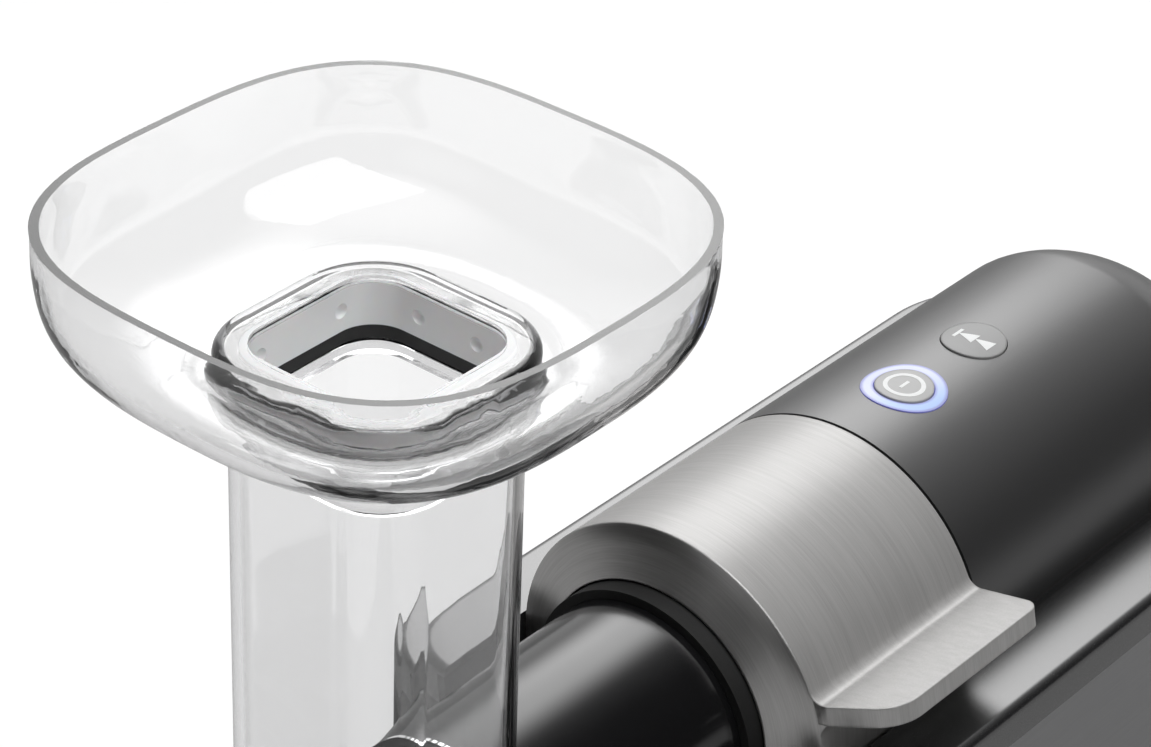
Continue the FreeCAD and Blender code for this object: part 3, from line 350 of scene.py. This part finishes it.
def brush_marks(recipe, stretch):
    """Brush marks from 0 to 1, from noise over the way along the axis, round it and out from it."""
    up = recipe.z - axis_height
    around = recipe.y.work("ARCTAN2", recipe.y, up) * brush_radius
    place = recipe.node("ShaderNodeCombineXYZ", {}, {"X": recipe.x, "Y": around, "Z": off_axis(recipe)})
    fine = grain(recipe, 5200.0, 3.0, stretch, place)
    broad = grain(recipe, 700.0, 3.0, stretch, place)
    return fine * 0.6 + broad * 0.4


def brushed(name, tone, rough, stretch=brush_round):
    """Brushed steel. The brush runs round the machine axis, or along it."""
    recipe = new_recipe(name)
    mark = brush_marks(recipe, stretch)
    cloud = grain(recipe, 25.0, 3.0)
    low = tuple(t * 0.86 for t in tone)
    return surface(recipe, between(recipe, mark.rise(0.25, 0.75), low, tone), Metallic=1.0,
                   Roughness=rough + mark * 0.10 + cloud * 0.06, Normal=bumped(recipe, mark, 0.00002))


wear(brushed("stainless_sleeve", (0.62, 0.61, 0.60), 0.22), "strainer")


# Locking ring: a steel ring brushed round its barrel, with the flat lever drawn out of its side. The
# grooves of the brush are dull and the ridges between them shine. The front face is turned smooth.
lever_starts = 0.0580
lever_edge = 0.0009


def ring_steel():
    recipe = new_recipe("ring_steel")
    on_lever = (off_axis(recipe) - lever_starts).rise(0, 0.001)
    mark = brush_marks(recipe, brush_round)
    cross = grain(recipe, 420.0, 3.0, (1, 0.08, 1))
    cloud = grain(recipe, 25.0, 3.0)
    facing = recipe.node("ShaderNodeTexCoord", {}, {}, "Normal")
    forward = recipe.node("ShaderNodeSeparateXYZ", {}, {0: facing}, "X")
    front = (0 - forward).rise(0.45, 0.8)
    relief = bumped(recipe, mark + cross * on_lever * 0.6, 0.00003, lever_edge)
    tone = between(recipe, mark.rise(0.25, 0.75), (0.45, 0.445, 0.44), (0.56, 0.555, 0.55))
    grooves = recipe.node("ShaderNodeBsdfPrincipled", {}, {
        "Base Color": tone, "Metallic": 1.0, "Normal": relief,
        "Roughness": 0.74 + mark * 0.1 + cloud * 0.06 - front * 0.52})
    ridges = recipe.node("ShaderNodeBsdfPrincipled", {}, {
        "Base Color": tone, "Metallic": 1.0, "Roughness": 0.28 + mark * 0.06, "Normal": relief})
    recipe.node("ShaderNodeOutputMaterial", {}, {
        "Surface": recipe.node("ShaderNodeMixShader", {}, {
            0: 0.26 + front * 0.6, 1: grooves, 2: ridges})})
    return recipe.owner


wear(ring_steel(), "locking_ring")


# Drive and motor: cast alloy covers, turned shafts, plastic wheels, copper windings. They are
# bolted together on the bulkhead, out of sight behind the ring and under the barrel.
def cast_alloy():
    recipe = new_recipe("cast_alloy")
    sand = grain(recipe, 700.0, 4.0)
    return surface(recipe, between(recipe, sand, (0.42, 0.42, 0.43), (0.55, 0.55, 0.56)), Metallic=1.0,
                   Roughness=0.45 + sand * 0.15, Normal=bumped(recipe, sand, 0.00006))


def dyed(name, low, high, rough, scale=300.0, metallic=0.0, depth=0.00002):
    """A plain finish whose colour wanders a little between two tones."""
    recipe = new_recipe(name)
    cloud = grain(recipe, scale, 3.0)
    return surface(recipe, between(recipe, cloud, low, high), Metallic=metallic,
                   Roughness=rough + cloud * 0.1, Normal=bumped(recipe, cloud, depth))


def laminated():
    """Stacked steel sheets: fine dark lines across the machine axis, a sheet's thickness apart."""
    recipe = new_recipe("laminations")
    sheet = 0.0005
    phase = recipe.x * (math.tau / sheet)
    line = phase.work("SINE", phase).rise(0.3, 1.0)
    return surface(recipe, between(recipe, line, (0.30, 0.30, 0.31), (0.12, 0.12, 0.13)), Metallic=0.8,
                   Roughness=0.4 + line * 0.2)


wear(cast_alloy(), "gearbox_cover", "gear_case", "motor_front_flange", "motor_end_bracket")
wear(brushed("turned_steel", (0.55, 0.55, 0.56), 0.25), "output_shaft", "output_bearing_front",
     "output_bearing_rear", "layshaft", "lay_pinion", "motor_shaft", "motor_pinion",
     "motor_bearing_front", "motor_bearing_rear", "motor_bolts", "seat_screws", "base_screws", "bulkhead")
wear(dyed("acetal", (0.66, 0.64, 0.57), (0.74, 0.72, 0.65), 0.35), "output_gear", "lay_gear")
wear(dyed("bronze", (0.45, 0.29, 0.13), (0.6, 0.4, 0.2), 0.35, metallic=1.0), "lay_bush_front",
     "lay_bush_rear")
wear(laminated(), "rotor_core", "stator_core")
wear(dyed("copper", (0.35, 0.12, 0.05), (0.62, 0.27, 0.12), 0.3, 1500.0, 0.9, 0.0001), "winding_front",
     "winding_rear")
wear(dyed("board", (0.02, 0.14, 0.06), (0.03, 0.19, 0.08), 0.35), "control_board", "power_board")
wear(dyed("can", (0.42, 0.42, 0.43), (0.5, 0.5, 0.51), 0.35, metallic=1.0), "capacitor")


# Upper housing: one black moulding that closes the body from above. The barrel and dome are satin
# with a fine grain, and the deck round them is smoother.
def housing_finish():
    recipe = new_recipe("housing_black")
    on_deck = 1 - (recipe.z - axis_height).rise(0.0015, 0.009)
    pits = grain(recipe, 3000.0, 2.0)
    waves = grain(recipe, 12.0, 1.0)
    relief = pits * (1 - on_deck) * 0.25 + waves
    return surface(recipe, (0.008, 0.008, 0.0085), Roughness=0.33 - on_deck * 0.09 + pits * 0.05,
                   IOR=1.68, Specular_IOR_Level=1.0,
                   Normal=bumped(recipe, relief, 0.00007))


wear(housing_finish(), "upper_housing")


# Side skins: two thin grey metal-look sheets, brushed lengthwise with a fine brush and let into the
# body's sides.
wear(brushed("panel_grey", (0.30, 0.30, 0.305), 0.34, brush_lengthwise), "side_panel_left",
     "side_panel_right")


# Chassis and base plate: matt black mouldings, screwed together from below. The four feet and the bush
# of the mains inlet are black rubber.
wear(matt_black("chassis_black", 0.016, 0.45), "chassis", "base_plate")
wear(rubber_finish("foot_rubber", 0.03), "foot_front_left", "foot_front_right", "foot_rear_left",
     "foot_rear_right", "cord_inlet")


# Buttons: two satin grey plastic caps in the barrel's top line, on short springs. The nearer one sits
# inside a ring of milky plastic, lit by four small lamps under it.
power_x, reverse_x = 0.0952, 0.1335
lit_middle = 0.0117
cap_edge = 0.0011


def lit_ring():
    """Milky plastic lit from below: near white in the middle of its width and violet blue outside."""
    recipe = new_recipe("lit_ring")
    along = recipe.x - power_x
    out = (along * along + recipe.y * recipe.y) ** 0.5
    edge = (out - lit_middle).size().rise(0.0007, 0.0022)
    side = (recipe.y * -1 - along * 0.4).rise(-0.004, 0.012)
    milk = between(recipe, side, (0.58, 0.62, 0.90), (0.30, 0.48, 0.92))
    glow = recipe.node("ShaderNodeMix", {"data_type": "RGBA"}, {
        "Factor": edge, 6: milk, 7: (0.07, 0.07, 0.42, 1)}, 2)
    return surface(recipe, (0.22, 0.23, 0.26), Roughness=0.35, Emission_Color=glow,
                   Emission_Strength=0.75)


def cap_grey(name, tone):
    """Satin moulded cap, its rim rounded over."""
    recipe = new_recipe(name)
    cloud = grain(recipe, 300.0, 3.0)
    return surface(recipe, between(recipe, cloud, (tone,) * 3, (tone * 1.14,) * 3),
                   Roughness=0.3 + cloud * 0.1, Normal=bumped(recipe, cloud, 0.00002, cap_edge))


wear(lit_ring(), "light_ring", "leds")
wear(cap_grey("power_grey", 0.36), "power_button")
wear(cap_grey("reverse_grey", 0.24), "reverse_button")


# Marks: white signs printed on the two caps, a ring with a bar for power and a bar with two
# triangles that point back along the row for reverse. They ride on their caps.
ink_thickness = 0.00006


def printed(name, body, middle_x, radius, patches):
    """A mark on a cap. A patch is a grid of places along and across the machine, in metres from the
    cap's middle, and each is lifted by the root of radius squared less across squared."""
    places, faces, count = [], [], 0
    for patch, closed in patches:
        rows, columns = patch.shape[:2]
        index = count + np.arange(rows * columns).reshape(rows, columns)
        count += rows * columns
        if closed:
            index = np.hstack([index, index[:, :1]])
        corners = (index[:-1, :-1], index[1:, :-1], index[1:, 1:], index[:-1, 1:])
        faces.append(np.stack(corners, -1).reshape(-1, 4))
        along, across = patch[..., 0].ravel(), patch[..., 1].ravel()
        lift = axis_height + np.sqrt(radius ** 2 - across ** 2)
        places.append(np.stack([middle_x + along, across, lift], -1))
    mesh = bpy.data.meshes.new(name)
    mesh.from_pydata(np.vstack(places).tolist(), [], np.vstack(faces).tolist())
    sign = bpy.data.objects.new(name, mesh)
    scene.collection.objects.link(sign)
    ink = sign.modifiers.new("ink", "SOLIDIFY")
    ink.thickness, ink.offset = ink_thickness, 1.0
    mesh.materials.append(print_white)
    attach(sign, body)


def plate(back, front, back_half, front_half):
    """A four-sided patch between two ends across the machine, each with its half width along it."""
    across = np.linspace(back, front, 9)
    half = np.linspace(back_half, front_half, 9)
    along = half[:, None] * np.linspace(1, -1, 3)[None, :]
    return np.stack([along, np.repeat(across[:, None], 3, 1)], -1), False


def print_finish():
    recipe = new_recipe("print_white")
    dust = grain(recipe, 900.0, 3.0)
    return surface(recipe, between(recipe, dust, (0.74, 0.75, 0.75), (0.84, 0.85, 0.85)),
                   Roughness=0.4 + dust * 0.1)


print_white = print_finish()
turn = np.linspace(0, math.tau, 96, endpoint=False)
circle_radii = (0.0053, 0.0068)
circle = np.stack([np.outer(circle_radii, np.cos(turn)), np.outer(circle_radii, np.sin(turn))], -1)
power_radius, reverse_radius = 0.05781, 0.05751
printed("power_mark", "power", power_x, power_radius, [
    (circle, True), plate(-0.00055, 0.00055, 0.0023, 0.0023)])
printed("reverse_mark", "reverse", reverse_x, reverse_radius, [
    plate(0.0056, 0.0068, 0.00275, 0.00275), plate(-0.0006, 0.0055, 0.00275, 0.0002),
    plate(-0.0068, -0.0007, 0.00275, 0.0002)])
